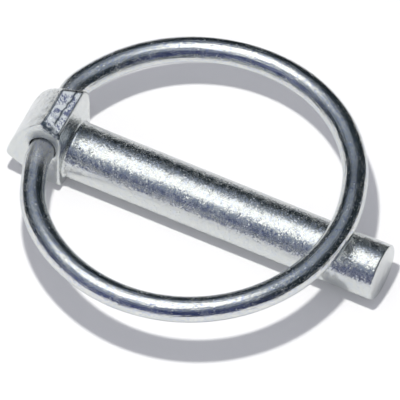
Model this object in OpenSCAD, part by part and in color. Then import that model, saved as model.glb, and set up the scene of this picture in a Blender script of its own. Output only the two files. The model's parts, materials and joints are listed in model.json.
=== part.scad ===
// Lynch pin: a headed shank with a sprung wire ring hinged through its head.
// Millimetres. The origin is on the shank's axis, in the plane of the head's
// bearing face. +X runs down the shank to its tip, +Z is up as the pin lies.

/* [Shank] */
// Diameter of the shank
shank_d = 8; // [6:0.5:10]
// Length from the head's bearing face to the tip
shank_len = 46; // [42:1:60]
// Radius of the rounded edge at the tip
tip_r = 0.7; // [0.3:0.1:1.2]
// Radius of the fillet between the shank and the head
neck_r = 0.45; // [0.2:0.05:0.5]

/* [Head] */
// Width of the head, across the pivot
head_w = 9.9; // [9:0.1:13]
// Depth of the head at its deepest, from the bearing face
head_depth = 8.35; // [8:0.1:11]
// Height of the crown above the shank's axis
crown_h = 11.5; // [10.5:0.1:14]
// Depth of the crown's ridge behind the bearing face
ridge_depth = 2.3; // [1.5:0.1:3]
// Height of the bearing face above the shank's axis
brow_h = 9.7; // [9:0.1:10.2]
// Radius of the domed back
back_r = 20; // [17:0.1:28]
// Radius of the back's upright corner on the near side
near_corner_r = 0.8; // [0.5:0.1:3]
// Radius of the back's upright corner on the far side
far_corner_r = 2.8; // [1:0.1:4.5]
// Radius of the heel, where the back meets the sole
heel_r = 1.2; // [0.8:0.1:2.4]
// Length of the level sole behind the bearing face
sole_len = 1.2; // [1:0.1:4]
// Rise of the sole towards the heel, in degrees
sole_rise = 32; // [20:1:36]
// Radius of the sole's long edges
foot_r = 2.5; // [1:0.1:3.5]
// Radius of the crown's edge over the near side
crown_r = 0.6; // [0.3:0.1:1.5]
// Height above the shank's axis where the far side's bevel meets the bearing face
bevel_h = 7; // [6:0.1:8.5]
// How far the bevel leans back from upright, in degrees
bevel_lean = 31; // [20:1:45]
// How far the bevel turns towards the back, in degrees
bevel_turn = 18; // [0:1:30]

/* [Ring] */
// Diameter of the ring's wire
wire_d = 3.5; // [2.5:0.1:4.5]
// Radius of the ring's main bend, to the middle of the wire
ring_r = 21.85; // [19:0.05:26]
// How far the ring is flattened where it meets the head
ring_flat = 1.35; // [0.8:0.05:2.5]
// Radius of the two shoulders, to the middle of the wire
shoulder_r = 14; // [10:0.5:16]
// How far the ring sits off the middle of the pin, towards the near side
ring_shift = 1.7; // [0:0.05:2]
// Gap between the closed ring and the shank
closed_gap = 0.55; // [0.2:0.05:1]

/* [Pivot] */
// Depth of the pivot line behind the bearing face
pivot_depth = 2.7; // [2.6:0.05:4]
// Height of the pivot line above the shank's axis
pivot_h = 4.75; // [4:0.05:6.5]
// How much higher the near hole is than the far hole
mouth_rise = 0.5; // [0:0.1:1.2]
// How much nearer the shank the near hole is than the far hole
mouth_lead = 0.55; // [0:0.05:0.8]
// Depth of each hole, from the side of the head
hole_depth = 4.2; // [3.5:0.1:4.4]
// Running clearance between the wire and its hole, all round
hole_gap = 0.25; // [0.1:0.05:0.4]
// Gap between the wire's end and the bottom of its hole
end_gap = 0.3; // [0.1:0.1:0.6]
// Radius of the hollow dished beside each hole
dish_r = 2; // [1.5:0.1:2.4]
// Distance of the hollow from the pivot line, towards the back of the head
dish_back = 0.15; // [0:0.05:0.6]
// Height of the hollow above the pivot line
dish_rise = 1.6; // [0.5:0.1:2.5]
// Depth of the hollow dished beside each hole
dish_depth = 0.8; // [0.4:0.1:1.4]

/* [Hidden] */

$fn = 64;
arc_steps = 12;
over = 1;

// The ring's bends meet inside balls that stand this much proud of the wire.
joint_over = 0.02;
joint_back = 0.1;

shank_r = shank_d / 2;
wire_r = wire_d / 2;
side = head_w / 2;

// The pivot line runs askew through the head, so that the ring springs shut.
pivot_roll = atan(mouth_rise / head_w);
pivot_yaw = atan(mouth_lead / head_w);

// Centre of the main bend and of the shoulders, from the pivot line.
bend_x = ring_r - ring_flat;
shoulder_y = sqrt(pow(ring_r - shoulder_r, 2) - pow(bend_x - shoulder_r, 2));
shoulder_angle = atan2(shoulder_y, bend_x - shoulder_r);
ring_reach = bend_x + ring_r;

// The closed ring lies over the shank, with its wire closed_gap clear of it.
wire_stand = (shank_r + wire_r + closed_gap) / cos(pivot_roll);
skew_drop = ring_reach * sin(pivot_yaw) * tan(pivot_roll);
closed_tilt = asin((wire_stand - pivot_h - skew_drop) / (ring_reach * cos(pivot_roll)));

// The back is an arc whose deepest point is head_depth behind the bearing face.
back_x = back_r - head_depth;
back_z = crown_h - sqrt(pow(back_r, 2) - pow(back_x + ridge_depth, 2));

// Points on an arc round c, from angle a0 to angle a1.
function arc(c, r, a0, a1) = [
    for (i = [0 : arc_steps])
    let (a = a0 + (a1 - a0) * i / arc_steps)
    c + r * [cos(a), sin(a)]
];

// The heel's centre is heel_r inside both the rising sole and the back.
sole_dir = [-cos(sole_rise), sin(sole_rise)];
sole_normal = [sin(sole_rise), cos(sole_rise)];
heel_from = [-sole_len, -shank_r] + heel_r * sole_normal - [back_x, back_z];
heel_along = heel_from * sole_dir;
heel_run = -heel_along
    + sqrt(pow(heel_along, 2) - heel_from * heel_from + pow(back_r - heel_r, 2));
heel_c = heel_from + heel_run * sole_dir + [back_x, back_z];
heel_end = atan2(heel_c[1] - back_z, heel_c[0] - back_x);

// Outline of the head from the side, x along the shank and y up.
module side_outline() {
    heel_start = 270 - sole_rise;
    back_start = heel_end < 0 ? heel_end + 360 : heel_end;
    back_end = 180 - asin((crown_h - back_z) / back_r);
    polygon(concat(
        [[0, brow_h], [0, -shank_r], [-sole_len, -shank_r]],
        arc(heel_c, heel_r, heel_start, back_start),
        arc([back_x, back_z], back_r, back_start, back_end)
    ));
}

// Outline of the head from the front, x from the near side to the far side.
module front_outline() {
    polygon(concat(
        arc([foot_r - side, foot_r - shank_r], foot_r, 180, 270),
        arc([side - foot_r, foot_r - shank_r], foot_r, 270, 360),
        [[side, crown_h]],
        arc([crown_r - side, crown_h - crown_r], crown_r, 90, 180)
    ));
}

// Outline of the head from above.
module plan_outline() {
    polygon(concat(
        [[0, -side], [0, side]],
        arc([far_corner_r - head_depth, side - far_corner_r], far_corner_r, 90, 180),
        arc([near_corner_r - head_depth, near_corner_r - side], near_corner_r, 180, 270)
    ));
}

// What the bevel takes off the far side.
module bevel_waste() {
    size = 2 * crown_h;
    translate([0, side, bevel_h]) rotate([bevel_lean, 0, bevel_turn])
        translate([-size / 2, 0, -size / 2]) cube(size);
}

module head_block() {
    difference() {
        intersection() {
            rotate([90, 0, 0])
                linear_extrude(height = head_w + over, center = true) side_outline();
            rotate([90, 0, 90]) translate([0, 0, -head_depth - over])
                linear_extrude(height = head_depth + over) front_outline();
            translate([0, 0, -shank_r])
                linear_extrude(height = shank_r + crown_h) plan_outline();
        }
        bevel_waste();
    }
}

// Half section of the shank with its rounded tip, y along the axis.
module shank_section() {
    square([shank_r, shank_len - tip_r]);
    square([shank_r - tip_r, shank_len]);
    translate([shank_r - tip_r, shank_len - tip_r]) circle(r = tip_r);
}

// Half section of the fillet at the neck, with its root inside the head.
module neck_section() {
    difference() {
        translate([0, -neck_r]) square([shank_r + neck_r, 2 * neck_r]);
        translate([shank_r + neck_r, neck_r]) circle(r = neck_r);
    }
}

// The shank, with the neck's fillet cut level with the sole.
module shank() {
    rotate([0, 90, 0]) rotate_extrude() shank_section();
    intersection() {
        rotate([0, 90, 0]) rotate_extrude() neck_section();
        translate([-over, -side, -shank_r]) cube([2 * over, head_w, shank_d + over]);
    }
}

// Puts children in the pivot's own frame: Y along the pivot line.
module at_pivot() {
    translate([-pivot_depth, 0, pivot_h]) rotate([-pivot_roll, 0, pivot_yaw]) children();
}

// One ring hole and the hollow beside it. s is -1 on the near side and 1 on the far.
module ring_hole(s) {
    dish_sphere_r = (pow(dish_r, 2) + pow(dish_depth, 2)) / (2 * dish_depth);
    at_pivot() {
        rotate([-90 * s, 0, 0]) translate([0, 0, side - hole_depth])
            cylinder(r = wire_r + hole_gap, h = hole_depth + over);
        translate([-dish_back, s * (side - dish_depth + dish_sphere_r), dish_rise])
            sphere(r = dish_sphere_r);
    }
}

module pin() {
    color("silver") difference() {
        union() {
            head_block();
            shank();
        }
        ring_hole(-1);
        ring_hole(1);
    }
}

// Wire bent at radius r between the angles a0 and a1, from the X axis towards +Y.
// It stops joint_back short of each, inside the ball that joins it to the next bend.
module wire_bend(r, a0, a1) {
    back = joint_back / r * 180 / PI;
    rotate([0, 0, a0 + back]) rotate_extrude(angle = a1 - a0 - 2 * back)
        translate([r, 0]) circle(d = wire_d);
}

// The ball that runs one bend into the next, at a point on the wire.
module joint(p) {
    translate(p) sphere(r = wire_r + joint_over);
}

// One shoulder of the ring and the straight end that turns in the head. shift is
// how far the ring's middle lies beyond the middle of the head, away from this end.
module ring_end(shift) {
    end_y = side - hole_depth + end_gap + shift;
    translate([shoulder_r, shoulder_y]) wire_bend(shoulder_r, 180 - shoulder_angle, 180);
    joint([bend_x - ring_r * cos(shoulder_angle), ring_r * sin(shoulder_angle), 0]);
    joint([0, shoulder_y, 0]);
    translate([0, end_y, 0]) rotate([-90, 0, 0])
        cylinder(d = wire_d, h = shoulder_y - end_y - joint_back);
}

module ring() {
    sweep = 180 - shoulder_angle;
    color("gainsboro") at_pivot() rotate([0, -closed_tilt, 0])
        translate([0, -ring_shift, 0]) {
            translate([bend_x, 0]) wire_bend(ring_r, -sweep, sweep);
            ring_end(ring_shift);
            mirror([0, 1, 0]) ring_end(-ring_shift);
        }
}

pin();
ring();
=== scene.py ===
"""Lynch pin: the visual model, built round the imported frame.

The forging (head and shank) and the ring are each one mesh, made from a few
driving sizes and from the frame's joint and mounts, and dressed in bright zinc
plate. Sizes are in millimetres and angles in degrees unless a name says
otherwise. Limits are the two values between which an eased step goes from 0 to 1.
"""

import json
import logging
import math
from dataclasses import dataclass, field
from enum import Enum

import bmesh
import bpy
import numpy as np
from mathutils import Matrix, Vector

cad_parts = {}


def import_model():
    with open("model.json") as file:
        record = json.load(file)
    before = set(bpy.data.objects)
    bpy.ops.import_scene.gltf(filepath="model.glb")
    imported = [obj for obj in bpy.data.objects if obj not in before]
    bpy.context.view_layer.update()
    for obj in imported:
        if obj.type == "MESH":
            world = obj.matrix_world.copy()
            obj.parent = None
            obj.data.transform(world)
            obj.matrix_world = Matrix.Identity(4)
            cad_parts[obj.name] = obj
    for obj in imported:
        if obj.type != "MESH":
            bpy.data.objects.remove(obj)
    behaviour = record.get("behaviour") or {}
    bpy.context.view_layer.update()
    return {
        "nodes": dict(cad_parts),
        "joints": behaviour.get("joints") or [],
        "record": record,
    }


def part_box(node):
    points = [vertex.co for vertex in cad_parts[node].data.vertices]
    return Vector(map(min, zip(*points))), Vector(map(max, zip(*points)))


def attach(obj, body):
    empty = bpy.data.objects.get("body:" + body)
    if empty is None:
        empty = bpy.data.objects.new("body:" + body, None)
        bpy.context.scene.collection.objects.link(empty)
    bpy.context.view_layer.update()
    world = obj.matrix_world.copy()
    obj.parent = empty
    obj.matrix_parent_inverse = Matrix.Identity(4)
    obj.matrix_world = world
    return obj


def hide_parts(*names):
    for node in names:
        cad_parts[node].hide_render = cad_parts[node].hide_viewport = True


LOG = logging.getLogger("lynch_pin")
MM = 0.001

# A blend is about this many times as wide as the radius that it rounds to.
BLEND_PER_RADIUS = 1.2

# The least radius to divide by, for points that lie on the shank's axis.
LEAST_RADIUS = 1e-6

# How many values the noise draws, and the primes that spread its lattice over them.
NOISE_VALUES = 4096
NOISE_PRIMES = (73856093, 19349663, 83492791)

Points = np.ndarray
Values = np.ndarray
Limits = tuple[float, float]
Three = tuple[float, float, float]
Colour = Three
Faces = list[tuple[int, ...]]
Socket = bpy.types.NodeSocket
Outputs = bpy.types.NodeOutputs


class Mark(Enum):
    """What a piece's points carry for its finish to read."""

    SHEARED = "sheared"
    # Painted shade along the crown's groove and rims, and the torn end's dark patches.
    PAINTED_SHADE_AND_TORN_END = "groove"
    SCUFFED = "scuffed"
    UNROLLED = "unrolled"


class Side(Enum):
    """The head's two sides, by their direction along the pivot line."""

    NEAR = -1
    FAR = 1


# ---- small maths


def unit(vector: tuple[float, ...] | np.ndarray) -> np.ndarray:
    """Returns the vector at length 1."""
    array = np.asarray(vector, float)
    return array / np.linalg.norm(array)


def smooth_max(a: Values, b: Values, blend: float | Values) -> Values:
    """Larger of two distances, rounded where they meet.

    Args:
        a: First distance field.
        b: Second distance field.
        blend: Width of the rounded stretch, about 1.2 times its radius.

    Returns:
        The blended distance, a quarter of the blend larger where the two are equal.
    """
    near = np.maximum(blend - np.abs(a - b), 0.0) / blend
    return np.maximum(a, b) + near * near * blend * 0.25


def smooth_min(a: Values, b: Values, blend: float | Values) -> Values:
    """Smaller of two distances, rounded where they meet. Args as in smooth_max."""
    return -smooth_max(-a, -b, blend)


def smooth_step(low: float | Values, high: float, x: Values) -> Values:
    """Eased step from 0 at low to 1 at high."""
    t = np.clip((x - low) / (high - low), 0.0, 1.0)
    return t * t * (3.0 - 2.0 * t)


def hump(x: Values, middle: float | Values, width: float) -> Values:
    """1 at the middle, falling smoothly towards 0 on both sides of it."""
    return np.exp(-(((x - middle) / width) ** 2))


def directions(line: Points) -> Points:
    """Direction of a line at each of its points, one a row."""
    run = np.gradient(line, axis=0)
    return run / np.linalg.norm(run, axis=1)[:, None]


def lattice_noise(points: Points, cell: float, seed: int) -> Values:
    """Smooth seeded noise from -1 to 1.

    Args:
        points: Points in millimetres, one a row.
        cell: Size of a lump of the noise.
        seed: Seed of the lattice's values.

    Returns:
        One value a point.
    """
    table = np.random.default_rng(seed).uniform(-1.0, 1.0, NOISE_VALUES)
    scaled = points / cell
    low = np.floor(scaled).astype(np.int64)
    part = scaled - low
    ease = part * part * (3.0 - 2.0 * part)
    total = np.zeros(len(points))
    for corner in range(8):
        step = np.array([corner & 1, corner >> 1 & 1, corner >> 2 & 1])
        key = (low + step) @ np.array(NOISE_PRIMES)
        weight = np.prod(np.where(step == 1, ease, 1.0 - ease), axis=1)
        total += table[np.abs(key) % NOISE_VALUES] * weight
    return total


@dataclass(frozen=True)
class Lumps:
    """Seeded unevenness: how high its lumps are, how wide, and their seed."""

    height: float
    cell: float
    seed: int

    def at(self, points: Points) -> Values:
        """How far each point stands out, from -height to height."""
        return self.height * lattice_noise(points, self.cell, self.seed)


# ---- mesh making


def link(name: str, data: bpy.types.ID) -> bpy.types.Object:
    """Makes an object and links it into the scene.

    Args:
        name: The object's name.
        data: Its mesh, lamp or camera.

    Returns:
        The new object.
    """
    made = bpy.data.objects.new(name, data)
    bpy.context.scene.collection.objects.link(made)
    return made


def new_object(name: str, points: Points, faces: Faces) -> bpy.types.Object:
    """Makes a smooth shaded mesh object from points in millimetres.

    Args:
        name: The object's name.
        points: One point a row.
        faces: Corner indices of each face.

    Returns:
        The new object, linked into the scene.
    """
    mesh = bpy.data.meshes.new(name)
    mesh.from_pydata((points * MM).tolist(), [], faces)
    mesh.validate()
    mesh.polygons.foreach_set("use_smooth", [True] * len(mesh.polygons))
    mesh.update()
    return link(name, mesh)


def read_points(mesh: bpy.types.Mesh) -> Points:
    """Reads a mesh's points in millimetres.

    Args:
        mesh: The mesh to read.

    Returns:
        Its points, one a row.
    """
    flat = np.empty(len(mesh.vertices) * 3)
    mesh.vertices.foreach_get("co", flat)
    return flat.reshape(-1, 3) / MM


def write_points(mesh: bpy.types.Mesh, points: Points) -> None:
    """Moves the mesh's points to places in millimetres."""
    mesh.vertices.foreach_set("co", (points * MM).ravel())
    mesh.update()


def put_mark(piece: bpy.types.Object, mark: Mark, values: Values) -> None:
    """Stores one number or one vector a point on a piece.

    Args:
        piece: The mesh object.
        mark: What the values say.
        values: One value a point, or three.
    """
    kind, key = ("FLOAT", "value") if values.ndim == 1 else ("FLOAT_VECTOR", "vector")
    attribute = piece.data.attributes.new(mark.value, kind, "POINT")
    attribute.data.foreach_set(key, values.astype(np.float32).ravel())


def tube_faces(rows: int, columns: int) -> Faces:
    """Makes the quads of an open tube.

    Args:
        rows: How many rings the tube has.
        columns: How many points each ring has.

    Returns:
        Corner indices of each face.
    """
    faces = []
    for row in range(rows - 1):
        for column in range(columns):
            after = (column + 1) % columns
            a = row * columns
            b = a + columns
            faces.append((a + column, a + after, b + after, b + column))
    return faces


def cap_face(row: int, columns: int) -> tuple[int, ...]:
    """The one face that closes a tube at the given ring."""
    return tuple(range(row * columns, (row + 1) * columns))


# ---- finishes


def rgba(colour: Colour) -> tuple[float, float, float, float]:
    """The colour with full alpha."""
    return (*colour, 1.0)


def per_metre(size_mm: float) -> float:
    """How many things of this size fit in a metre."""
    return 1.0 / (size_mm * MM)


class Graph:
    """A node tree with short calls to add and join nodes."""

    MIX_PART, MIX_FIRST, MIX_SECOND, MIX_RESULT = 0, 6, 7, 2

    def __init__(self, tree: bpy.types.NodeTree) -> None:
        """Keeps the tree that the nodes go into."""
        self.tree = tree

    def add(self, kind: str, **values: object) -> bpy.types.Node:
        """Adds a node and sets its properties and the inputs that values name.

        Args:
            kind: The node's type.
            **values: Properties, or inputs with spaces written as underscores.

        Returns:
            The new node.
        """
        return self.fill(self.tree.nodes.new(kind), **values)

    def fill(self, node: bpy.types.Node, **values: object) -> bpy.types.Node:
        """Sets a node's properties and the inputs that values name.

        Args:
            node: The node.
            **values: Properties and inputs, as in add.

        Returns:
            The same node.
        """
        for name, value in values.items():
            if hasattr(node, name):
                setattr(node, name, value)
            else:
                self.feed(node, name.replace("_", " "), value)
        return node

    def feed(self, node: bpy.types.Node, name: str | int, value: object) -> None:
        """Links value into an input if it is a socket, or sets it there.

        Args:
            node: The node that has the input.
            name: The input's name or number.
            value: A socket, or a plain value.
        """
        socket = node.inputs[name]
        if isinstance(value, bpy.types.NodeSocket):
            self.tree.links.new(value, socket)
        else:
            socket.default_value = value

    def maths(self, operation: str, *values: object) -> Socket:
        """Adds a Math node.

        Args:
            operation: What the node does.
            *values: Its inputs, in order.

        Returns:
            Its result.
        """
        node = self.add("ShaderNodeMath", operation=operation)
        for index, value in enumerate(values):
            self.feed(node, index, value)
        return node.outputs[0]

    def vectors(self, operation: str, first: object, second: object) -> bpy.types.Node:
        """Adds a Vector Math node of two inputs.

        Args:
            operation: What the node does.
            first: Its first input.
            second: Its second input.

        Returns:
            The new node.
        """
        node = self.add("ShaderNodeVectorMath", operation=operation)
        self.feed(node, 0, first)
        self.feed(node, 1, second)
        return node

    def ramp(self, value: Socket, limits: Limits) -> Socket:
        """Eased 0 to 1 as value goes from the first limit to the second."""
        node = self.add("ShaderNodeMapRange", interpolation_type="SMOOTHSTEP", Value=value)
        return self.fill(node, From_Min=limits[0], From_Max=limits[1]).outputs["Result"]

    def mix(self, part: object, first: object, second: object) -> Socket:
        """Mixes two colours.

        Args:
            part: How much of the second colour there is, from 0 to 1.
            first: The first colour.
            second: The second colour.

        Returns:
            The mixed colour.
        """
        node = self.add("ShaderNodeMix", data_type="RGBA")
        self.feed(node, self.MIX_PART, part)
        self.feed(node, self.MIX_FIRST, first)
        self.feed(node, self.MIX_SECOND, second)
        return node.outputs[self.MIX_RESULT]

    def noise(self, place: Socket, scale: object, detail: float, roughness: float = 0.5) -> Socket:
        """Cloudy noise round 0.5.

        Args:
            place: Where the surface is.
            scale: Lumps a unit of place.
            detail: How many finer layers the noise has.
            roughness: How strong each finer layer is.

        Returns:
            The noise's value.
        """
        node = self.add("ShaderNodeTexNoise", Vector=place, Scale=scale)
        return self.fill(node, Detail=detail, Roughness=roughness).outputs["Fac"]

    def mark(self, mark: Mark, output: str = "Fac") -> Socket:
        """Reads what the piece's points carry."""
        return self.add("ShaderNodeAttribute", attribute_name=mark.value).outputs[output]


@dataclass
class PlatingGrain:
    """Node group: the crystals, waves and pits of a zinc plated skin.

    Each crystal is a flat facet with its own slight tilt, and a layer of finer
    ones lies over it. The facets are deeper where the waves are high. Pits lie
    in the cells whose random value is over pit_rarity. Heights are in metres.
    """

    name: str = "plating grain"
    wave_detail: float = 2.0
    finer_scale: float = 1.9
    finer_part: float = 0.7
    deeper_limits: Limits = (0.36, 0.64)
    deeper: float = 1.1
    shallowest: float = 0.45
    pit_limits: Limits = (0.32, 0.08)
    pit_rarity: float = 0.6
    tree: bpy.types.NodeTree | None = field(default=None, repr=False)

    INPUTS = ("Crystal Scale", "Crystal Tilt", "Wave Scale", "Wave Height", "Pit Scale", "Pit Depth")
    OUTPUTS = ("Height", "Crystal", "Cloud", "Pits")
    LEVEL = (0.5, 0.5, 0.5)

    def make(self) -> bpy.types.NodeTree:
        """Builds the group once.

        Returns:
            The node group.
        """
        if self.tree:
            return self.tree
        self.tree = bpy.data.node_groups.new(self.name, "ShaderNodeTree")
        face = self.tree.interface
        face.new_socket("Place", in_out="INPUT", socket_type="NodeSocketVector")
        for name in self.INPUTS:
            face.new_socket(name, in_out="INPUT", socket_type="NodeSocketFloat")
        for name in self.OUTPUTS:
            face.new_socket(name, in_out="OUTPUT", socket_type="NodeSocketFloat")
        graph = Graph(self.tree)
        source = graph.add("NodeGroupInput").outputs
        cloud = graph.noise(source["Place"], source["Wave Scale"], self.wave_detail)
        first, crystal = self.facets(graph, source["Place"], source["Crystal Scale"])
        finer = graph.maths("MULTIPLY", source["Crystal Scale"], self.finer_scale)
        second, _ = self.facets(graph, source["Place"], finer)
        facets = graph.maths("MULTIPLY_ADD", second, self.finer_part, first)
        wavy = graph.ramp(cloud, self.deeper_limits)
        deepness = graph.maths("MULTIPLY_ADD", wavy, self.deeper, self.shallowest)
        facets = graph.maths("MULTIPLY", facets, deepness)
        height = graph.maths("MULTIPLY", facets, source["Crystal Tilt"])
        height = graph.maths("MULTIPLY_ADD", cloud, source["Wave Height"], height)
        pits = self.pits(graph, source["Place"], source["Pit Scale"])
        depth = graph.maths("MULTIPLY", source["Pit Depth"], -1.0)
        height = graph.maths("MULTIPLY_ADD", pits, depth, height)
        graph.add("NodeGroupOutput", Height=height, Crystal=crystal, Cloud=cloud, Pits=pits)
        return self.tree

    def facets(self, graph: Graph, place: Socket, scale: Socket) -> tuple[Socket, Socket]:
        """Adds one layer of tilted crystals.

        Args:
            graph: The group's tree.
            place: Where the surface is.
            scale: Crystals a metre.

        Returns:
            Height for a tilt of 1, and a random value for each crystal.
        """
        cell, random = self.cells(graph, place, scale)
        lean = graph.vectors("SUBTRACT", cell["Color"], self.LEVEL).outputs["Vector"]
        reach = graph.vectors("SUBTRACT", place, cell["Position"]).outputs["Vector"]
        return graph.vectors("DOT_PRODUCT", lean, reach).outputs["Value"], random["Green"]

    def pits(self, graph: Graph, place: Socket, scale: Socket) -> Socket:
        """Adds scattered round pits.

        Args:
            graph: The group's tree.
            place: Where the surface is.
            scale: Cells a metre.

        Returns:
            1 in the middle of a pit, 0 outside it.
        """
        cell, random = self.cells(graph, place, scale)
        rare = graph.maths("GREATER_THAN", random["Red"], self.pit_rarity)
        return graph.maths("MULTIPLY", graph.ramp(cell["Distance"], self.pit_limits), rare)

    @staticmethod
    def cells(graph: Graph, place: Socket, scale: Socket) -> tuple[Outputs, Outputs]:
        """Splits the surface into random cells.

        Args:
            graph: The group's tree.
            place: Where the surface is.
            scale: Cells a metre.

        Returns:
            The cells' outputs, and three random values for each cell.
        """
        cell = graph.add("ShaderNodeTexVoronoi", Vector=place, Scale=scale, Randomness=1.0)
        random = graph.add("ShaderNodeSeparateColor", Color=cell.outputs["Color"])
        return cell.outputs, random.outputs


@dataclass
class Coat:
    """What reaches the shader, while a finish lays one layer over another."""

    colour: Socket
    rough: Socket
    metal: Socket
    height: Socket


@dataclass(frozen=True)
class TornSkin:
    """The crown's sheared skin: spotted pale and dark, gritty, with painted shade along its groove.

    matt is how much rougher than the plate it is, and dull how much less metallic.
    """

    light: Colour = (0.92, 0.98, 1.0)
    dark: Colour = (0.17, 0.20, 0.34)
    # Colour of the painted shade along the groove, the rims and behind the ridge, and of the torn end's
    # dark patches.
    groove: Colour = (0.05, 0.07, 0.09)
    spot_mm: float = 0.8
    spot_detail: float = 4.0
    spot_roughness: float = 0.6
    spot_crystals: float = 0.28
    dark_limits: Limits = (0.70, 0.46)
    matt: float = 0.08
    dull: float = 0.6
    grit_mm: float = 0.22
    grit_detail: float = 2.0
    grit_height_mm: float = 0.10

    def lay(self, graph: Graph, place: Socket, crystal: Socket, coat: Coat) -> None:
        """Lays the skin over the plate where the piece is marked as sheared.

        Args:
            graph: The material's tree.
            place: Where the surface is.
            crystal: A random value for each of the plate's crystals.
            coat: The plate so far, which this changes.
        """
        skin = graph.mark(Mark.SHEARED)
        spots = graph.noise(place, per_metre(self.spot_mm), self.spot_detail, self.spot_roughness)
        spots = graph.maths("MULTIPLY_ADD", crystal, self.spot_crystals, spots)
        spotted = graph.mix(graph.ramp(spots, self.dark_limits), rgba(self.light), rgba(self.dark))
        coat.colour = graph.mix(skin, coat.colour, spotted)
        # Paints the shade along the groove, the rims and behind the ridge, and the torn end's dark
        # patches.
        coat.colour = graph.mix(graph.mark(Mark.PAINTED_SHADE_AND_TORN_END), coat.colour, rgba(self.groove))
        coat.rough = graph.maths("MULTIPLY_ADD", skin, self.matt, coat.rough)
        coat.metal = graph.maths("MULTIPLY_ADD", skin, -self.dull, coat.metal)
        grit = graph.noise(place, per_metre(self.grit_mm), self.grit_detail)
        gritty = graph.maths("MULTIPLY", skin, self.grit_height_mm * MM)
        coat.height = graph.maths("MULTIPLY_ADD", grit, gritty, coat.height)


@dataclass(frozen=True)
class ZincFinish:
    """Bright zinc plate: cold grey with a blue cast, grainy where the light turns.

    light and shade are the greys of the plate's cloudy patches, blue is the grey of
    some crystals, and edge tints its grazing reflections. scuff is how much rougher
    the scuffed places are, and scuff_dull how much less metallic. place is the mark
    that the grain follows, or None for the object's own coordinates. drawn_mm is the
    depth of the lengthwise marks that drawing leaves, if there are any.
    """

    name: str
    light: Colour
    shade: Colour
    blue: Colour
    edge: Colour
    roughness: float
    crystal_mm: float
    tilt: float
    wave_mm: float
    wave_height_mm: float
    pit_mm: float
    pit_depth_mm: float
    scuff: float
    scuff_dull: float = 0.0
    place: Mark | None = None
    drawn_mm: float = 0.0
    drawn_width_mm: float = 0.3
    drawn_stretch: Three = (0.15, 1.0, 1.0)
    drawn_detail: float = 3.0
    light_limits: Limits = (0.35, 0.65)
    blue_limits: Limits = (0.55, 0.95)
    wave_matt: float = 0.14
    pit_matt: float = 0.2
    torn: TornSkin | None = None

    def build(self, grain: PlatingGrain) -> bpy.types.Material:
        """Makes the material.

        Args:
            grain: The node group that the plated finishes share.

        Returns:
            The new material.
        """
        material = bpy.data.materials.new(self.name)
        material.use_nodes = True
        graph = Graph(material.node_tree)
        shader = material.node_tree.nodes["Principled BSDF"]
        if self.place:
            place = graph.mark(self.place, "Vector")
        else:
            place = graph.add("ShaderNodeTexCoord").outputs["Object"]
        plate = self.plate(graph, grain, place)
        coat = self.scuffed(graph, plate)
        if self.drawn_mm:
            coat.height = self.drawn(graph, place, coat.height)
        if self.torn:
            self.torn.lay(graph, place, plate["Crystal"], coat)
        bump = graph.add("ShaderNodeBump", Height=coat.height, Strength=1.0, Distance=1.0)
        graph.fill(shader, Metallic=coat.metal, Specular_Tint=rgba(self.edge), Base_Color=coat.colour)
        graph.fill(shader, Roughness=coat.rough, Normal=bump.outputs["Normal"])
        return material

    def plate(self, graph: Graph, grain: PlatingGrain, place: Socket) -> Outputs:
        """Places the shared grain with this finish's own sizes.

        Args:
            graph: The material's tree.
            grain: The shared node group.
            place: Where the surface is.

        Returns:
            The group's outputs.
        """
        plate = graph.add("ShaderNodeGroup", node_tree=grain.make(), Place=place)
        graph.fill(plate, Crystal_Scale=per_metre(self.crystal_mm), Crystal_Tilt=self.tilt)
        graph.fill(plate, Wave_Scale=per_metre(self.wave_mm), Wave_Height=self.wave_height_mm * MM)
        graph.fill(plate, Pit_Scale=per_metre(self.pit_mm), Pit_Depth=self.pit_depth_mm * MM)
        return plate.outputs

    def scuffed(self, graph: Graph, plate: Outputs) -> Coat:
        """The plate's colours and gloss, with its scuffed places duller.

        Args:
            graph: The material's tree.
            plate: The shared grain's outputs.

        Returns:
            The coat that the shader, or the next layer, takes.
        """
        pale = graph.ramp(plate["Cloud"], self.light_limits)
        colour = graph.mix(pale, rgba(self.shade), rgba(self.light))
        colour = graph.mix(graph.ramp(plate["Crystal"], self.blue_limits), colour, rgba(self.blue))
        lowest = self.roughness - self.wave_matt / 2
        rough = graph.maths("MULTIPLY_ADD", plate["Cloud"], self.wave_matt, lowest)
        rough = graph.maths("MULTIPLY_ADD", plate["Pits"], self.pit_matt, rough)
        worn = graph.mark(Mark.SCUFFED)
        rough = graph.maths("MULTIPLY_ADD", worn, self.scuff, rough)
        metal = graph.maths("MULTIPLY_ADD", worn, -self.scuff_dull, 1.0)
        return Coat(colour=colour, rough=rough, metal=metal, height=plate["Height"])

    def drawn(self, graph: Graph, place: Socket, height: Socket) -> Socket:
        """Adds the marks of drawing, long along the wire and fine across it.

        Args:
            graph: The material's tree.
            place: Where the surface is.
            height: The skin's height so far.

        Returns:
            The height with the marks.
        """
        lengthwise = graph.vectors("MULTIPLY", place, self.drawn_stretch).outputs["Vector"]
        marks = graph.noise(lengthwise, per_metre(self.drawn_width_mm), self.drawn_detail)
        return graph.maths("MULTIPLY_ADD", marks, self.drawn_mm * MM, height)


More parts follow.
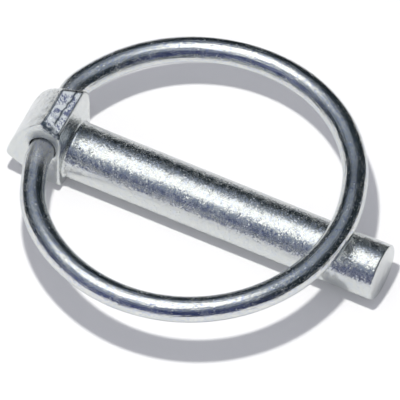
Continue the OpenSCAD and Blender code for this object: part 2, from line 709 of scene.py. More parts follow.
FORGED_ZINC = ZincFinish(
    name="zinc on forging",
    light=(0.70, 0.72, 0.69),
    shade=(0.62, 0.645, 0.625),
    blue=(0.595, 0.635, 0.685),
    edge=(1.0, 1.0, 1.0),
    roughness=0.13,
    crystal_mm=0.20,
    tilt=0.16,
    wave_mm=1.0,
    wave_height_mm=0.016,
    pit_mm=0.42,
    pit_depth_mm=0.014,
    scuff=0.42,
    torn=TornSkin(),
)
DRAWN_ZINC = ZincFinish(
    name="zinc on wire",
    light=(0.74, 0.75, 0.715),
    shade=(0.64, 0.66, 0.64),
    blue=(0.57, 0.61, 0.70),
    edge=(0.8, 0.82, 0.82),
    roughness=0.09,
    crystal_mm=0.17,
    tilt=0.07,
    wave_mm=1.2,
    wave_height_mm=0.006,
    pit_mm=0.5,
    pit_depth_mm=0.012,
    scuff=0.2,
    scuff_dull=0.16,
    place=Mark.UNROLLED,
    drawn_mm=0.045,
)


# ---- the forging


@dataclass
class HeadForm:
    """The forged head as a distance field: its faces, blends, holes and hollows.

    A blend is the width of the stretch over which two faces round into each other.
    softer and sharper add to a blend or take from it towards one part of the head,
    and a name that ends in y or z has the limits of such a part along that axis.
    """

    shank_r: float
    pivot: np.ndarray
    pivot_line: np.ndarray
    width: float = 9.9
    depth: float = 8.35
    crown_h: float = 11.5
    ridge_depth: float = 2.3
    brow_h: float = 9.7
    back_r: float = 20.0
    sole_len: float = 1.2
    sole_rise: float = 32.0
    foot_r: float = 2.5
    bevel_h: float = 7.0
    bevel_lean: float = 31.0
    bevel_turn: float = 18.0
    neck_r: float = 0.45
    stub_len: float = 1.6
    hole_r: float = 1.87
    hole_back: float = 0.06
    hole_depth: float = 4.2
    dish_r: float = 1.95
    dish_depth: float = 0.5
    dish_lead: float = 0.28
    dish_rise: float = 1.35
    heel_blend: float = 1.3
    heel_sharper_near: float = 0.7
    corner_blend: float = 0.3
    corner_softer_low: float = 0.3
    corner_softer_far: float = 2.4
    crown_blend: float = 0.22
    crown_softer_near: float = 0.2
    bevel_blend: float = 0.5
    bevel_softer_low: float = 0.7
    face_blend: float = 0.4
    hole_end_blend: float = 0.2
    hole_edge_blend: float = 0.3
    dish_edge_blend: float = 0.5
    near_y: Limits = (-2.8, -4.2)
    far_y: Limits = (-1.0, 3.0)
    low_z: Limits = (10.5, 3.0)
    under_crown_z: Limits = (11.8, 9.5)
    settle_rounds: int = 7
    slope_step: float = 0.01
    least_slope_squared: float = 0.25
    longest_move: float = 0.15

    @property
    def side(self) -> float:
        """Half the head's width."""
        return self.width / 2

    @property
    def crown_normal(self) -> np.ndarray:
        """Outward direction of the sheared crown."""
        return unit((self.crown_h - self.brow_h, 0.0, self.ridge_depth))

    def crown(self, p: Points) -> Values:
        """Distance outside the sheared crown."""
        return (p - np.array([0.0, 0.0, self.brow_h])) @ self.crown_normal

    def back(self, p: Points) -> Values:
        """Distance outside the domed back.

        Args:
            p: Points in the part's frame.

        Returns:
            One distance a point.
        """
        back_x = self.back_r - self.depth
        back_z = self.crown_h - math.sqrt(self.back_r**2 - (back_x + self.ridge_depth) ** 2)
        return np.hypot(p[:, 0] - back_x, p[:, 2] - back_z) - self.back_r

    def sole(self, p: Points) -> Values:
        """Distance outside the sole where it rises to the heel.

        Args:
            p: Points in the part's frame.

        Returns:
            One distance a point.
        """
        rise = math.radians(self.sole_rise)
        start = np.array([-self.sole_len, 0.0, -self.shank_r])
        return (p - start) @ np.array([-math.sin(rise), 0.0, -math.cos(rise)])

    def bevel(self, p: Points) -> Values:
        """Distance outside the bevel of the far side.

        Args:
            p: Points in the part's frame.

        Returns:
            One distance a point.
        """
        lean, turn = math.radians(self.bevel_lean), math.radians(self.bevel_turn)
        level = math.cos(lean)
        normal = np.array([-math.sin(turn) * level, math.cos(turn) * level, math.sin(lean)])
        return (p - np.array([0.0, self.side, self.bevel_h])) @ normal

    def flanks(self, p: Points) -> Values:
        """Distance outside the two sides and the level sole, with rounded feet.

        Args:
            p: Points in the part's frame.

        Returns:
            One distance a point.
        """
        across = np.abs(p[:, 1]) - (self.side - self.foot_r)
        down = -(p[:, 2] + self.shank_r) + self.foot_r
        outside = np.hypot(np.maximum(across, 0.0), np.maximum(down, 0.0))
        return outside + np.minimum(np.maximum(across, down), 0.0) - self.foot_r

    def nearness(self, p: Points) -> Values:
        """0 over most of the head, 1 at its near side."""
        return smooth_step(*self.near_y, p[:, 1])

    def block(self, p: Points) -> Values:
        """Distance outside the head without its holes.

        Args:
            p: Points in the part's frame.

        Returns:
            One distance a point.
        """
        near = self.nearness(p)
        far = smooth_step(*self.far_y, p[:, 1])
        low = smooth_step(*self.low_z, p[:, 2])
        corner = self.corner_blend + self.corner_softer_low * low
        corner += self.corner_softer_far * far * smooth_step(*self.under_crown_z, p[:, 2])
        heel = self.heel_blend - self.heel_sharper_near * near
        body = smooth_max(self.back(p), self.sole(p), heel)
        body = smooth_max(body, self.flanks(p), corner)
        body = smooth_max(body, self.crown(p), self.crown_blend + self.crown_softer_near * near)
        body = smooth_max(body, self.bevel(p), self.bevel_blend + self.bevel_softer_low * low)
        return smooth_max(body, p[:, 0], self.face_blend)

    def pivot_frame(self, p: Points) -> tuple[Values, Values, Values]:
        """Places of points along, ahead of and above the pivot line.

        Args:
            p: Points in the part's frame.

        Returns:
            Distance along the line towards the far side, distance ahead of it and
            distance above it.
        """
        along = self.pivot_line
        ahead = unit(np.cross(along, (0.0, 0.0, 1.0)))
        above = np.cross(ahead, along)
        local = p - self.pivot
        return local @ along, local @ ahead, local @ above

    def holes(self, p: Points) -> Values:
        """Distance outside both ring holes.

        Args:
            p: Points in the part's frame.

        Returns:
            One distance a point.
        """
        along, ahead, above = self.pivot_frame(p)
        bore = np.hypot(ahead + self.hole_back, above) - self.hole_r
        bottom = self.side - self.hole_depth
        return smooth_max(bore, bottom - np.abs(along), self.hole_end_blend)

    def dishes(self, p: Points) -> Values:
        """Distance outside the hollows beside the holes, each a part of a ball.

        Args:
            p: Points in the part's frame.

        Returns:
            One distance a point.
        """
        along, ahead, above = self.pivot_frame(p)
        ball_r = (self.dish_r**2 + self.dish_depth**2) / (2 * self.dish_depth)
        beside = np.abs(along) - (self.side - self.dish_depth + ball_r)
        away = (ahead - self.dish_lead) ** 2 + (above - self.dish_rise) ** 2 + beside**2
        return np.sqrt(away) - ball_r

    def distance(self, p: Points) -> Values:
        """Distance outside the finished head and the start of the shank.

        Args:
            p: Points in the part's frame.

        Returns:
            One distance a point.
        """
        radius = np.hypot(p[:, 1], p[:, 2])
        stub = np.maximum(radius - self.shank_r, p[:, 0] - self.stub_len)
        stub = np.maximum(stub, -self.depth / 2 - p[:, 0])
        whole = smooth_min(self.block(p), stub, BLEND_PER_RADIUS * self.neck_r)
        whole = smooth_max(whole, -self.dishes(p), self.dish_edge_blend)
        whole = smooth_max(whole, -self.holes(p), self.hole_edge_blend)
        return np.maximum(whole, -self.shank_r - p[:, 2])

    def settle(self, p: Points) -> Points:
        """Moves points onto the head's surface.

        Args:
            p: Points near the surface.

        Returns:
            The moved points.
        """
        step = self.slope_step
        for _ in range(self.settle_rounds):
            value = self.distance(p)
            slope = np.empty_like(p)
            for axis in range(3):
                nudge = np.zeros(3)
                nudge[axis] = step
                slope[:, axis] = (self.distance(p + nudge) - self.distance(p - nudge)) / (2 * step)
            size = np.maximum((slope**2).sum(axis=1), self.least_slope_squared)
            move = np.clip(value / size, -self.longest_move, self.longest_move)
            p = p - move[:, None] * slope
        return p


@dataclass
class ShearedCrown:
    """The skin on the crown: cut by a shear, then torn along a groove and at one end.

    A name that ends in x, y or z has limits along that axis. Limits named under,
    off_bevel and off_front are distances outside the crown's face, the bevel and the
    front face, so they are negative inside the head. Limits named off_ridge are
    distances in front of the crown's ridge. The groove sways like a sine, with its
    rate in radians a millimetre and its start in radians.
    """

    form: HeadForm
    torn_y: Limits = (-4.1, -4.6)
    torn_under: Limits = (-0.95, -0.6)
    torn_z: Limits = (8.0, 8.8)
    torn_x: Limits = (-3.0, -2.4)
    skin_under: Limits = (-0.14, -0.03)
    skin_deeper_near: float = 0.3
    skin_off_bevel: Limits = (-0.15, -0.45)
    skin_off_ridge: Limits = (0.08, 0.2)
    skin_off_front: Limits = (-0.08, -0.2)
    groove_mid: float = 1.8
    groove_w: float = 0.17
    groove_slant: float = 0.035
    groove_y: Limits = (-4.4, -3.4)
    groove_depth: float = 0.10
    groove_off_ridge: Limits = (-0.1, 0.0)
    sway: float = 0.10
    sway_rate: float = 0.9
    sway_start: float = 0.5
    wander: Lumps = Lumps(height=0.2, cell=0.6, seed=11)
    front_off_ridge: Limits = (-0.05, 0.1)
    # The rim and back lines are painted shade: dark lines inside the crown's rims, and one behind the
    # ridge where the back curves to it.
    rim_inset: float = 0.14
    ridge_rim_w: float = 0.1
    brow_rim_w: float = 0.08
    brow_rim_under: Limits = (-0.5, -0.1)
    rim_shade: float = 0.8
    back_line: float = 0.60
    back_line_w: float = 0.08
    back_line_y: Limits = (1.5, -3.5)
    back_line_shade: float = 0.3
    torn_shade: float = 0.8
    torn_patches: Lumps = Lumps(height=0.9, cell=0.42, seed=12)
    grit: Lumps = Lumps(height=0.022, cell=0.3, seed=5)
    fine_grit: Lumps = Lumps(height=0.014, cell=0.16, seed=6)
    torn_lumps: Lumps = Lumps(height=0.15, cell=0.45, seed=7)
    torn_lumps_y: Limits = (-3.2, -4.4)

    def off_ridge(self, p: Points, limits: Limits) -> Values:
        """Eased step over the distance in front of the crown's ridge."""
        ridge_x = -self.form.ridge_depth
        return smooth_step(ridge_x + limits[0], ridge_x + limits[1], p[:, 0])

    def torn(self, p: Points) -> Values:
        """1 on the torn near end of the crown, 0 elsewhere."""
        near = smooth_step(*self.torn_y, p[:, 1]) * smooth_step(*self.torn_under, self.form.crown(p))
        return near * smooth_step(*self.torn_z, p[:, 2]) * smooth_step(*self.torn_x, p[:, 0])

    def skin(self, p: Points) -> Values:
        """1 on the sheared crown and its torn near end, 0 elsewhere.

        Args:
            p: Points in the part's frame.

        Returns:
            One value a point.
        """
        deepest = self.skin_under[0] - self.skin_deeper_near * self.form.nearness(p)
        on_crown = smooth_step(deepest, self.skin_under[1], self.form.crown(p))
        on_crown *= smooth_step(*self.skin_off_bevel, self.form.bevel(p))
        on_crown *= self.off_ridge(p, self.skin_off_ridge)
        return np.maximum(on_crown, self.torn(p)) * smooth_step(*self.skin_off_front, p[:, 0])

    def groove(self, p: Points) -> Values:
        """1 along the line where the shear's cut turned into a tear, 0 elsewhere.

        Fainter lines run inside the crown's two long rims and behind its ridge.
        The finish paints shade along all of these lines.

        Args:
            p: Points in the part's frame.

        Returns:
            One value a point.
        """
        form = self.form
        across = np.hypot(p[:, 0] + form.ridge_depth, p[:, 2] - form.crown_h)
        wander = self.sway * np.sin(self.sway_rate * p[:, 1] + self.sway_start) + self.wander.at(p)
        line = self.groove_mid + self.groove_slant * p[:, 1] + wander
        in_front = self.off_ridge(p, self.front_off_ridge)
        middle = hump(across, line, self.groove_w) * smooth_step(*self.groove_y, p[:, 1])
        # rims and behind are lines of painted shade at the crown's edges and behind its ridge.
        rims = hump(across, self.rim_inset, self.ridge_rim_w) * in_front
        brow = hump(p[:, 0], -self.rim_inset, self.brow_rim_w)
        rims += brow * smooth_step(*self.brow_rim_under, form.crown(p))
        behind = hump(across, self.back_line, self.back_line_w) * (1.0 - in_front)
        behind = behind * smooth_step(*self.back_line_y, p[:, 1])
        return middle * in_front + self.rim_shade * rims + self.back_line_shade * behind

    def shade_and_torn_patches(self, p: Points) -> Values:
        """How dark each point is, from 0 to 1: painted shade along the groove and its fainter lines, and
        dark patches on the torn end.
        """
        patchy = self.torn_shade + self.torn_patches.at(p)
        return np.clip(np.maximum(self.groove(p), patchy * self.torn(p)), 0.0, 1.0)

    def stand(self, p: Points) -> Values:
        """How far the sheared skin stands proud of the crown at each point.

        Args:
            p: Points in the part's frame.

        Returns:
            One distance a point.
        """
        grit = self.grit.at(p) + self.fine_grit.at(p)
        rough = self.torn_lumps.at(p) * smooth_step(*self.torn_lumps_y, p[:, 1])
        sunk = self.groove_depth * self.groove(p) * self.off_ridge(p, self.groove_off_ridge)
        return grit + rough - sunk


@dataclass
class Forging:
    """The pin: its forged head and drawn shank as one mesh.

    The two meshes meet seam_back short of the end of the head's stub. bar_off_seam
    is how far past the seam the bar's unevenness starts, and scuff_dish how far from
    the hollows the scuffs end. The tip's face has the points within tip_skin of it.
    """

    solid: bpy.types.Object
    form: HeadForm
    crown: ShearedCrown
    length: float
    finish: ZincFinish = FORGED_ZINC
    tip_r: float = 0.35
    head_cell: float = 0.12
    seam_back: float = 0.3
    seam_gap: float = 0.12
    turns: int = 160
    barrel_rings: int = 120
    tip_rings: int = 8
    face_rings: int = 15
    face_middle: float = 0.03
    along_bar: Three = (0.25, 1.0, 1.0)
    bar_waves: Lumps = Lumps(height=0.012, cell=1.6, seed=21)
    bar_grain: Lumps = Lumps(height=0.006, cell=0.7, seed=22)
    bar_off_seam: Limits = (-0.5, 3.0)
    tip_waves: Lumps = Lumps(height=0.02, cell=0.8, seed=23)
    tip_skin: float = 0.02
    scuff_dish: Limits = (0.8, 0.1)

    @property
    def seam_x(self) -> float:
        """Where the head's mesh meets the shank's."""
        return self.form.stub_len - self.seam_back

    def head_mesh(self) -> tuple[Points, Faces]:
        """Remeshes the frame's pin finely round the head and settles it on the form.

        Returns:
            The head's points and faces, open where the shank joins it.
        """
        rough = self.solid.copy()
        rough.data = rough.data.copy()
        rough.parent = None
        bpy.context.scene.collection.objects.link(rough)
        remesh = rough.modifiers.new("cell", "REMESH")
        remesh.mode = "VOXEL"
        remesh.voxel_size = self.head_cell * MM
        bpy.context.view_layer.update()
        graph = bpy.context.evaluated_depsgraph_get()
        fine = bpy.data.meshes.new_from_object(rough.evaluated_get(graph))
        bpy.data.objects.remove(rough)
        points = read_points(fine)
        faces = [tuple(polygon.vertices) for polygon in fine.polygons]
        bpy.data.meshes.remove(fine)
        kept = points[:, 0] < self.seam_x
        order = np.full(len(points), -1)
        order[kept] = np.arange(kept.sum())
        faces = [face for face in faces if all(kept[index] for index in face)]
        faces = [tuple(int(order[index]) for index in face) for face in faces]
        return self.form.settle(points[kept]), faces

    def shank_mesh(self) -> tuple[Points, Faces]:
        """Turns the shank with its rounded tip.

        Returns:
            The shank's points and faces, open where it joins the head.
        """
        radius = self.form.shank_r
        barrel_end = self.length - self.tip_r
        inner = radius - self.tip_r
        barrel = np.linspace(self.seam_x + self.seam_gap, barrel_end, self.barrel_rings)
        stations = [(x, radius) for x in barrel]
        for angle in np.linspace(0, math.pi / 2, self.tip_rings + 1)[1:]:
            x = barrel_end + self.tip_r * math.sin(angle)
            stations.append((x, inner + self.tip_r * math.cos(angle)))
        parts = np.linspace(1, self.face_middle, self.face_rings + 1)[1:]
        stations += [(self.length, inner * part) for part in parts]
        angles = np.linspace(0, 2 * math.pi, self.turns, endpoint=False)
        across, up = np.cos(angles), np.sin(angles)
        rings = [np.c_[np.full(self.turns, x), r * across, r * up] for x, r in stations]
        faces = tube_faces(len(stations), self.turns)
        faces.append(cap_face(len(stations) - 1, self.turns))
        return np.vstack(rings), faces

    def unevenness(self, points: Points) -> Points:
        """Slight unevenness of the drawn bar, and of its cut tip.

        Args:
            points: The forging's points.

        Returns:
            How far each point moves.
        """
        radial = points * np.array([0.0, 1.0, 1.0])
        radius = np.maximum(np.linalg.norm(radial, axis=1), LEAST_RADIUS)
        stretched = points * np.array(self.along_bar)
        wave = self.bar_waves.at(stretched) + self.bar_grain.at(points) - self.bar_waves.height
        start, end = self.bar_off_seam
        settled = smooth_step(self.seam_x + start, self.seam_x + end, points[:, 0])
        barrel = smooth_step(0.0, self.form.shank_r - self.tip_r, radius) * wave * settled
        move = radial / radius[:, None] * barrel[:, None]
        on_tip = smooth_step(self.length - self.tip_skin, self.length, points[:, 0])
        move[:, 0] += on_tip * (self.tip_waves.at(points) - self.tip_waves.height)
        return move

    def build(self, grain: PlatingGrain) -> bpy.types.Object:
        """Makes the forging as one mesh in place of the frame's pin.

        Args:
            grain: The node group that the plated finishes share.

        Returns:
            The dressed piece.
        """
        head, head_faces = self.head_mesh()
        shank, shank_faces = self.shank_mesh()
        faces = head_faces + [tuple(index + len(head) for index in face) for face in shank_faces]
        piece = new_object("forging", np.vstack([head, shank]), faces)
        self.join_seam(piece)
        points = read_points(piece.data)
        skin = self.crown.skin(points)
        put_mark(piece, Mark.SHEARED, skin)
        # Painted shade along the crown's groove, rims and ridge, and the torn end's dark patches.
        put_mark(piece, Mark.PAINTED_SHADE_AND_TORN_END, self.crown.shade_and_torn_patches(points))
        points = points + (self.crown.stand(points) * skin)[:, None] * self.form.crown_normal
        points = points + self.unevenness(points)
        put_mark(piece, Mark.SCUFFED, smooth_step(*self.scuff_dish, self.form.dishes(points)))
        write_points(piece.data, points)
        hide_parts("pin")
        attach(piece, "pin")
        piece.data.materials.append(self.finish.build(grain))
        return piece

    def join_seam(self, piece: bpy.types.Object) -> None:
        """Closes the gap between the head's open edge and the shank's.

        Args:
            piece: The forging, with its two meshes still apart.
        """
        mesh = bmesh.new()
        mesh.from_mesh(piece.data)
        rim = [edge for edge in mesh.edges if edge.is_boundary]
        for vertex in {vertex for edge in rim for vertex in edge.verts}:
            across = math.hypot(vertex.co.y, vertex.co.z)
            vertex.co.y *= self.form.shank_r * MM / across
            vertex.co.z *= self.form.shank_r * MM / across
            if vertex.co.x < (self.seam_x + self.seam_gap / 2) * MM:
                vertex.co.x = self.seam_x * MM - 0.5 * self.head_cell * MM
        bmesh.ops.bridge_loops(mesh, edges=rim)
        bmesh.ops.recalc_face_normals(mesh, faces=mesh.faces)
        for face in mesh.faces:
            face.smooth = True
        mesh.to_mesh(piece.data)
        mesh.free()


# ---- the ring


@dataclass(frozen=True)
class Kink:
    """A gentle kink in the wire's ring.

    at and reach are shares of the wire's length; out and lift are in millimetres,
    away from the ring's middle and out of its plane.
    """

    at: float
    reach: float
    out: float
    lift: float = 0.0


@dataclass
class WireRing:
    """The ring: one length of wire, bent to a ring with two ends in the head.

    kink_past and scuff_past are limits of the distance past the head's side, where
    the kinks start and the scuffs end. scuff_ahead is the same from the pivot line.
    """

    pivot: np.ndarray
    pivot_line: np.ndarray
    shank_r: float
    head_side: float
    hole_depth: float
    finish: ZincFinish = DRAWN_ZINC
    wire_d: float = 3.5
    ring_r: float = 21.85
    ring_flat: float = 1.35
    shoulder_r: float = 14.0
    shift: float = 1.7
    closed_gap: float = 0.55
    end_gap: float = 0.3
    step: float = 0.32
    fewest_steps: int = 3
    turns: int = 56
    grain_stretch: float = 0.55
    along_wire: Three = (0.4, 1.0, 1.0)
    wire_waves: Lumps = Lumps(height=0.007, cell=1.1, seed=31)
    wire_grain: Lumps = Lumps(height=0.003, cell=0.8, seed=32)
    scuff_past: Limits = (3.6, 0.2)
    scuff_ahead: Limits = (8.0, 4.0)
    kink_past: Limits = (-1.0, 5.0)
    kinks: tuple[Kink, ...] = (
        Kink(at=0.045, reach=0.045, out=-0.5),
        Kink(at=0.28, reach=0.12, out=0.12),
        Kink(at=0.74, reach=0.16, out=0.42, lift=-0.75),
        Kink(at=0.80, reach=0.10, out=-0.18),
        Kink(at=0.975, reach=0.025, out=0.6),
    )

    @property
    def bend_x(self) -> float:
        """Distance from the pivot line to the middle of the main bend."""
        return self.ring_r - self.ring_flat

    @property
    def axes(self) -> tuple[np.ndarray, np.ndarray, np.ndarray]:
        """Directions of the closed ring: towards its far end, along its pivot, and up.

        Returns:
            Three directions of length 1.
        """
        along = self.pivot_line
        roll = math.asin(-along[2])
        yaw = math.atan2(-along[0], along[1])
        reach = self.bend_x + self.ring_r
        stand = (self.shank_r + self.wire_d / 2 + self.closed_gap) / math.cos(roll)
        drop = reach * math.sin(yaw) * math.tan(roll)
        tilt = math.asin((stand - self.pivot[2] - drop) / (reach * math.cos(roll)))
        level = unit(np.cross(along, (0.0, 0.0, 1.0)))
        flat_level = unit((math.cos(yaw), math.sin(yaw), 0.0))
        rise = unit(np.cross(flat_level, along))
        ahead = math.cos(tilt) * level + math.sin(tilt) * rise
        return ahead, along, unit(np.cross(ahead, along))

    def half_path(self) -> Points:
        """The ring's middle line from its far end round one shoulder to the pivot line.

        Returns:
            Places in the ring's plane, one a row.
        """
        offset = self.bend_x - self.shoulder_r
        shoulder_y = math.sqrt((self.ring_r - self.shoulder_r) ** 2 - offset**2)
        turn = math.pi - math.atan2(shoulder_y, offset)
        main = np.linspace(0.0, turn, int(self.ring_r * turn / self.step))
        count = int(self.shoulder_r * (math.pi - turn) / self.step) + 1
        shoulder = np.linspace(turn, math.pi, count + 1)[1:]
        bend = np.c_[self.bend_x + self.ring_r * np.cos(main), self.ring_r * np.sin(main)]
        shoulder_x = self.shoulder_r + self.shoulder_r * np.cos(shoulder)
        return np.vstack([bend, np.c_[shoulder_x, shoulder_y + self.shoulder_r * np.sin(shoulder)]])

    def straight_end(self, start: float, side: Side) -> Points:
        """The straight stretch that turns in the head on one side.

        Args:
            start: Where it starts, along the pivot line.
            side: The side of the head.

        Returns:
            Places in the ring's plane, one a row.
        """
        bottom = self.head_side - self.hole_depth + self.end_gap
        stop = bottom + side.value * self.shift
        count = max(self.fewest_steps, int(abs(start - stop) / self.step))
        run = np.linspace(start, stop, count)[1:]
        return np.c_[np.zeros(len(run)), run]

    def path(self) -> tuple[Points, Values]:
        """The whole middle line from the near end to the far end.

        Returns:
            Places in the ring's plane, and how far the wire stands out of it.
        """
        half = self.half_path()
        far = np.vstack([half, self.straight_end(half[-1, 1], Side.FAR)])
        near = np.vstack([half, self.straight_end(half[-1, 1], Side.NEAR)]) * np.array([1.0, -1.0])
        whole = np.vstack([near[::-1], far[1:]])
        share = np.linspace(0.0, 1.0, len(whole))
        run = directions(whole)
        outward = np.c_[run[:, 1], -run[:, 0]]
        lift = np.zeros(len(whole))
        for kink in self.kinks:
            push = hump(share, kink.at, kink.reach)
            push *= smooth_step(*self.kink_past, np.abs(whole[:, 1]) - self.head_side)
            whole = whole + kink.out * push[:, None] * outward
            lift += kink.lift * push
        return whole - np.array([0.0, self.shift]), lift

    def sweep(self, middle: Points, up: np.ndarray) -> tuple[Points, Points]:
        """Sweeps the wire's round section along its middle line.

        Args:
            middle: The middle line's points.
            up: The direction out of the ring's plane.

        Returns:
            The wire's points, and the same points unrolled: along the wire, across
            it and up, which is where its grain lies.
        """
        out = np.cross(directions(middle), up)
        angles = np.linspace(0, 2 * math.pi, self.turns, endpoint=False)
        length = np.r_[0.0, np.cumsum(np.linalg.norm(np.diff(middle, axis=0), axis=1))]
        radius = self.wire_d / 2
        spokes = np.cos(angles)[None, :, None] * out[:, None, :] + np.sin(angles)[None, :, None] * up
        points = (middle[:, None, :] + radius * spokes).reshape(-1, 3)
        lengthwise = np.repeat(length * self.grain_stretch, self.turns)
        across = np.tile(radius * np.cos(angles), len(middle))
        unrolled = np.stack([lengthwise, across, np.tile(radius * np.sin(angles), len(middle))], axis=1)
        uneven = self.wire_waves.at(unrolled * np.array(self.along_wire)) + self.wire_grain.at(unrolled)
        return points + uneven[:, None] * spokes.reshape(-1, 3), unrolled

    def build(self, grain: PlatingGrain) -> bpy.types.Object:
        """Makes the ring in place of the frame's ring.

        Args:
            grain: The node group that the plated finishes share.

        Returns:
            The dressed piece.
        """
        ahead, along, up = self.axes
        flat, lift = self.path()
        middle = self.pivot + flat[:, :1] * ahead + flat[:, 1:] * along + lift[:, None] * up
        points, unrolled = self.sweep(middle, up)
        faces = tube_faces(len(middle), self.turns)
        faces.append(cap_face(0, self.turns)[::-1])
        faces.append(cap_face(len(middle) - 1, self.turns))
        ring = new_object("wire_ring", points, faces)
        put_mark(ring, Mark.UNROLLED, unrolled * MM)
        past = np.abs(flat[:, 1] + self.shift) - self.head_side
        scuffed = smooth_step(*self.scuff_past, past) * smooth_step(*self.scuff_ahead, flat[:, 0])
        put_mark(ring, Mark.SCUFFED, np.repeat(scuffed, self.turns))
        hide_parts("ring")
        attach(ring, "ring")
        ring.data.materials.append(self.finish.build(grain))
        return ring


# ---- the studio


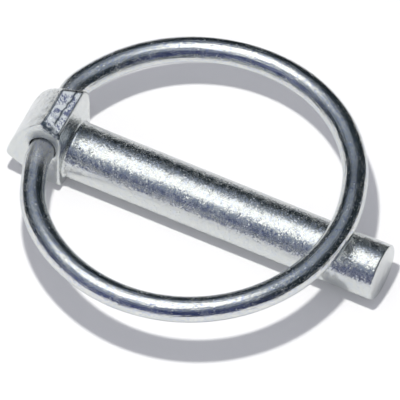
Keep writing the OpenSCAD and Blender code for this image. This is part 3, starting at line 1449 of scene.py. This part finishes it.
@dataclass
class Studio:
    """The pale floor, the lamp, the room that the metal mirrors, and the camera.

    frame_width is how much the camera sees from side to side where it aims. Dark
    things stand in front of the room's walls here and there. panel is the brightness
    of a soft panel overhead. Only the metal sees the room: fill lights the rest.
    """

    floor_z: float
    aim: Three = (18.81, -0.08, 0.0)
    azimuth: float = 25.7
    elevation: float = 57.0
    distance: float = 2000.0
    frame_width: float = 53.908
    sensor_width: float = 36.0
    clip_m: Limits = (0.05, 20.0)
    floor_x: Limits = (-68.0, 110.0)
    floor_y: Limits = (-90.0, 44.0)
    floor_colour: Colour = (0.8, 0.8, 0.8)
    floor_lift: float = 0.08
    floor_lift_colour: Colour = (0.97, 0.98, 1.0)
    key_offset: tuple[float, float] = (-13.0, -40.0)
    key_height: float = 330.0
    key_radius: float = 10.0
    key_power: float = 0.905
    key_colour: Colour = (1.0, 0.985, 0.96)
    fill: Colour = (0.43, 0.435, 0.485)
    open_air: Colour = (1.0, 1.0, 1.0)
    far_wall: Colour = (0.03, 0.04, 0.05)
    far_things: Colour = (0.012, 0.016, 0.018)
    near_wall: Colour = (0.19, 0.21, 0.36)
    near_things: Colour = (0.014, 0.024, 0.09)
    near_axis: Three = (0.0, -1.0, 0.0)
    near_limits: Limits = (0.1, 0.8)
    things_scale: float = 5.0
    things_detail: float = 3.0
    things_limits: Limits = (0.40, 0.60)
    ceiling: Colour = (0.365, 0.41, 0.50)
    ceiling_limits: Limits = (0.48, 0.92)
    panel: float = 1.88
    panel_limits: Limits = (0.85, 0.97)
    up_axis: Three = (-0.2, -0.05, 1.0)

    def floor(self) -> None:
        """Lays the pale floor, which shows as white where no shadow falls."""
        left, right = self.floor_x
        near, far = self.floor_y
        flat = ((left, near), (right, near), (right, far), (left, far))
        corners = np.array([(x, y, self.floor_z) for x, y in flat])
        floor = new_object("studio_floor", corners, [(0, 1, 2, 3)])
        material = bpy.data.materials.new("studio floor")
        material.use_nodes = True
        graph = Graph(material.node_tree)
        material.node_tree.nodes.clear()
        path = graph.add("ShaderNodeLightPath")
        seen = graph.maths("MAXIMUM", path.outputs["Is Camera Ray"], path.outputs["Is Glossy Ray"])
        seen = graph.maths("MAXIMUM", seen, path.outputs["Is Transmission Ray"])
        matt = graph.add("ShaderNodeBsdfDiffuse", Color=rgba(self.floor_colour))
        lift = graph.add("ShaderNodeEmission", Color=rgba(self.floor_lift_colour))
        graph.feed(lift, "Strength", graph.maths("MULTIPLY", seen, self.floor_lift))
        both = graph.add("ShaderNodeAddShader")
        graph.feed(both, 0, matt.outputs[0])
        graph.feed(both, 1, lift.outputs[0])
        graph.add("ShaderNodeOutputMaterial", Surface=both.outputs[0])
        floor.data.materials.append(material)

    def room(self) -> None:
        """Makes the world: white to the camera, a plain fill, and a dim room to metal."""
        world = bpy.data.worlds.new("studio room")
        bpy.context.scene.world = world
        world.use_nodes = True
        graph = Graph(world.node_tree)
        world.node_tree.nodes.clear()
        path = graph.add("ShaderNodeLightPath")
        looked = graph.add("ShaderNodeTexCoord").outputs["Generated"]
        up = self.facing(graph, looked, self.up_axis)
        near = graph.ramp(self.facing(graph, looked, self.near_axis), self.near_limits)
        things = graph.noise(looked, self.things_scale, self.things_detail)
        bare = graph.ramp(things, self.things_limits)
        far_side = graph.mix(bare, rgba(self.far_things), rgba(self.far_wall))
        near_side = graph.mix(bare, rgba(self.near_things), rgba(self.near_wall))
        walls = graph.mix(near, far_side, near_side)
        room = graph.mix(graph.ramp(up, self.ceiling_limits), walls, rgba(self.ceiling))
        mirrored = graph.mix(graph.ramp(up, self.panel_limits), room, rgba((self.panel,) * 3))
        fill = graph.mix(path.outputs["Is Glossy Ray"], rgba(self.fill), mirrored)
        seen = graph.mix(path.outputs["Is Camera Ray"], fill, rgba(self.open_air))
        back = graph.add("ShaderNodeBackground", Color=seen, Strength=1.0)
        graph.add("ShaderNodeOutputWorld", Surface=back.outputs[0])

    @staticmethod
    def facing(graph: Graph, direction: Socket, axis: Three) -> Socket:
        """Cosine of the angle between the direction looked in and an axis."""
        return graph.vectors("DOT_PRODUCT", direction, tuple(unit(axis))).outputs["Value"]

    def key(self) -> None:
        """Hangs the small lamp almost overhead, which gives the crisp shadows.

        The metal doesn't mirror it: it mirrors the room's soft panel in its place.
        """
        lamp = bpy.data.lights.new("key", "AREA")
        lamp.shape = "DISK"
        lamp.size = 2 * self.key_radius * MM
        lamp.energy = self.key_power
        lamp.color = self.key_colour
        hung = link("key", lamp)
        beside, before = self.key_offset
        hung.location = Vector((self.aim[0] + beside, self.aim[1] + before, self.key_height)) * MM
        hung.rotation_euler = (Vector(self.aim) * MM - hung.location).to_track_quat("-Z", "Y").to_euler()
        hung.visible_glossy = False

    def camera(self) -> None:
        """Sets up a long lens, so that parallel edges stay parallel."""
        turn, lift = math.radians(self.azimuth), math.radians(self.elevation)
        level = math.cos(lift)
        away = Vector((math.sin(turn) * level, -math.cos(turn) * level, math.sin(lift)))
        lens = bpy.data.cameras.new("camera")
        lens.sensor_width = self.sensor_width
        lens.lens = lens.sensor_width * self.distance / self.frame_width
        lens.clip_start, lens.clip_end = self.clip_m
        seat = link("camera", lens)
        seat.location = (Vector(self.aim) + away * self.distance) * MM
        seat.rotation_euler = (-away).to_track_quat("-Z", "Y").to_euler()
        bpy.context.scene.camera = seat

    def build(self) -> None:
        """Builds the whole studio."""
        self.camera()
        self.floor()
        self.room()
        self.key()
        bpy.context.scene.view_settings.view_transform = "Standard"


# ---- the object


def main() -> None:
    """Loads the frame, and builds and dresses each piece."""
    logging.basicConfig(level=logging.INFO, format="%(name)s: %(message)s")
    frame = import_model()
    lowest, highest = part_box("pin")
    swing = frame["joints"][0]
    pivot = np.array(swing["pos_m"]) / MM
    pivot_line = -unit(swing["axis"])
    shank = next(mount for mount in frame["record"]["mounts"] if mount["name"] == "shank")
    shank_r = shank["dims"]["r_mm"]
    Studio(floor_z=lowest.z / MM).build()
    grain = PlatingGrain()
    form = HeadForm(shank_r=shank_r, pivot=pivot, pivot_line=pivot_line)
    forging = Forging(
        solid=frame["nodes"]["pin"],
        form=form,
        crown=ShearedCrown(form),
        length=highest.x / MM,
    )
    ring = WireRing(
        pivot=pivot,
        pivot_line=pivot_line,
        shank_r=shank_r,
        head_side=form.side,
        hole_depth=form.hole_depth,
    )
    for made in (forging, ring):
        piece = made.build(grain)
        LOG.info("%s: %d faces", piece.name, len(piece.data.polygons))
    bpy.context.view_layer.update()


if __name__ == "__main__":
    main()
